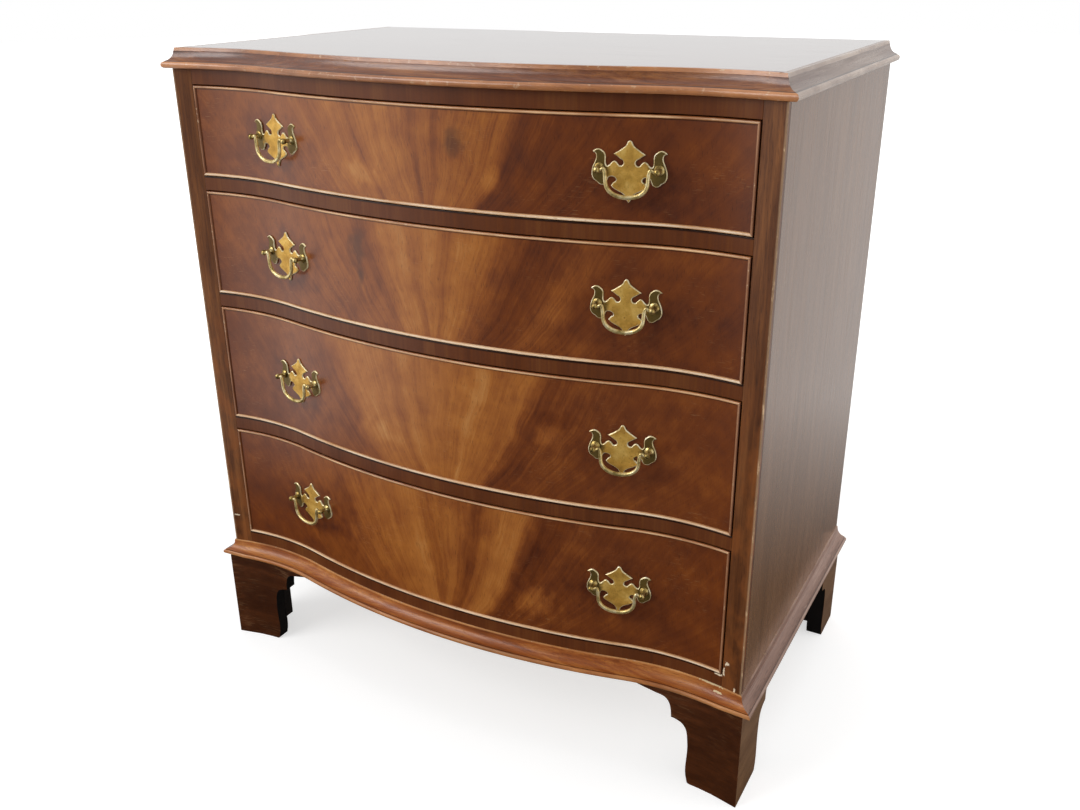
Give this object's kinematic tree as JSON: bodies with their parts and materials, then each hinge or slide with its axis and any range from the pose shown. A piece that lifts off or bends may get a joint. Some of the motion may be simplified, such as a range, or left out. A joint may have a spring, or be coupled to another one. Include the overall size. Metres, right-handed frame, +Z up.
{
  "type": "chest of drawers",
  "caption": "Serpentine-fronted chest with graduated cockbeaded drawers, swan-neck bail handles and bracket feet",
  "frame": {"origin": "on the floor, in the middle of the outer box's width and depth", "axes": "+X to the viewer's right when the drawers are faced, -Y out of the drawers towards the viewer, +Z up"},
  "size_m": [0.7918, 0.4818, 0.8325],
  "materials": {
    "top_veneer": "polished, with a soft sheen",
    "side_veneer": "polished, with a soft sheen",
    "front_veneer": "polished flame-figured veneer",
    "rail_veneer": "polished",
    "bead_wood": "polished, worn on its edges",
    "moulding_wood": "polished, scuffed",
    "foot_wood": "polished, darkened with age",
    "inner_wood": "bare, planed",
    "brass": "worn and tarnished"
  },
  "bodies": {
    "carcase": {"top_board": "top_veneer", "top_moulding": "moulding_wood", "left_side": "side_veneer", "right_side": "side_veneer", "left_stile": "rail_veneer", "right_stile": "rail_veneer", "top_rail": "rail_veneer", "drawer_rail_1": "rail_veneer", "drawer_rail_2": "rail_veneer", "drawer_rail_3": "rail_veneer", "bottom_rail": "rail_veneer", "back_panel": "inner_wood", "bottom_board": "inner_wood", "drawer_runners": "inner_wood", "base_moulding": "moulding_wood", "front_left_foot": "foot_wood", "front_right_foot": "foot_wood", "rear_left_foot": "foot_wood", "rear_right_foot": "foot_wood", "glue_blocks": "inner_wood"},
    "drawer_1": {"drawer_1_front": "front_veneer", "drawer_1_cockbead": "bead_wood", "drawer_1_left_side": "inner_wood", "drawer_1_right_side": "inner_wood", "drawer_1_back": "inner_wood", "drawer_1_bottom": "inner_wood", "drawer_1_backplates": "brass", "drawer_1_posts": "brass"},
    "bail_1_left": {"drawer_1_left_bail": "brass"},
    "bail_1_right": {"drawer_1_right_bail": "brass"},
    "drawer_2": {"drawer_2_front": "front_veneer", "drawer_2_cockbead": "bead_wood", "drawer_2_left_side": "inner_wood", "drawer_2_right_side": "inner_wood", "drawer_2_back": "inner_wood", "drawer_2_bottom": "inner_wood", "drawer_2_backplates": "brass", "drawer_2_posts": "brass"},
    "bail_2_left": {"drawer_2_left_bail": "brass"},
    "bail_2_right": {"drawer_2_right_bail": "brass"},
    "drawer_3": {"drawer_3_front": "front_veneer", "drawer_3_cockbead": "bead_wood", "drawer_3_left_side": "inner_wood", "drawer_3_right_side": "inner_wood", "drawer_3_back": "inner_wood", "drawer_3_bottom": "inner_wood", "drawer_3_backplates": "brass", "drawer_3_posts": "brass"},
    "bail_3_left": {"drawer_3_left_bail": "brass"},
    "bail_3_right": {"drawer_3_right_bail": "brass"},
    "drawer_4": {"drawer_4_front": "front_veneer", "drawer_4_cockbead": "bead_wood", "drawer_4_left_side": "inner_wood", "drawer_4_right_side": "inner_wood", "drawer_4_back": "inner_wood", "drawer_4_bottom": "inner_wood", "drawer_4_backplates": "brass", "drawer_4_posts": "brass"},
    "bail_4_left": {"drawer_4_left_bail": "brass"},
    "bail_4_right": {"drawer_4_right_bail": "brass"}
  },
  "joints": [
    {"name": "drawer_1_slide", "type": "slide", "parent": "carcase", "child": "drawer_1", "axis": [0, -1, 0], "range_m": [0, 0.33]},
    {"name": "bail_1_left_swing", "type": "hinge", "parent": "drawer_1", "child": "bail_1_left", "pos_m": [-0.22853, -0.21244, 0.73645], "axis": [-0.9809, 0.1943, 0], "range_deg": [-18, 180]},
    {"name": "bail_1_right_swing", "type": "hinge", "parent": "drawer_1", "child": "bail_1_right", "pos_m": [0.22853, -0.21244, 0.73645], "axis": [-0.9809, -0.1943, 0], "range_deg": [-18, 180]},
    {"name": "drawer_2_slide", "type": "slide", "parent": "carcase", "child": "drawer_2", "axis": [0, -1, 0], "range_m": [0, 0.33]},
    {"name": "bail_2_left_swing", "type": "hinge", "parent": "drawer_2", "child": "bail_2_left", "pos_m": [-0.22853, -0.21244, 0.59645], "axis": [-0.9809, 0.1943, 0], "range_deg": [-18, 180]},
    {"name": "bail_2_right_swing", "type": "hinge", "parent": "drawer_2", "child": "bail_2_right", "pos_m": [0.22853, -0.21244, 0.59645], "axis": [-0.9809, -0.1943, 0], "range_deg": [-18, 180]},
    {"name": "drawer_3_slide", "type": "slide", "parent": "carcase", "child": "drawer_3", "axis": [0, -1, 0], "range_m": [0, 0.33]},
    {"name": "bail_3_left_swing", "type": "hinge", "parent": "drawer_3", "child": "bail_3_left", "pos_m": [-0.22853, -0.21244, 0.43245], "axis": [-0.9809, 0.1943, 0], "range_deg": [-18, 180]},
    {"name": "bail_3_right_swing", "type": "hinge", "parent": "drawer_3", "child": "bail_3_right", "pos_m": [0.22853, -0.21244, 0.43245], "axis": [-0.9809, -0.1943, 0], "range_deg": [-18, 180]},
    {"name": "drawer_4_slide", "type": "slide", "parent": "carcase", "child": "drawer_4", "axis": [0, -1, 0], "range_m": [0, 0.33]},
    {"name": "bail_4_left_swing", "type": "hinge", "parent": "drawer_4", "child": "bail_4_left", "pos_m": [-0.22853, -0.21244, 0.2542], "axis": [-0.9809, 0.1943, 0], "range_deg": [-18, 180]},
    {"name": "bail_4_right_swing", "type": "hinge", "parent": "drawer_4", "child": "bail_4_right", "pos_m": [0.22853, -0.21244, 0.2542], "axis": [-0.9809, -0.1943, 0], "range_deg": [-18, 180]}
  ]
}
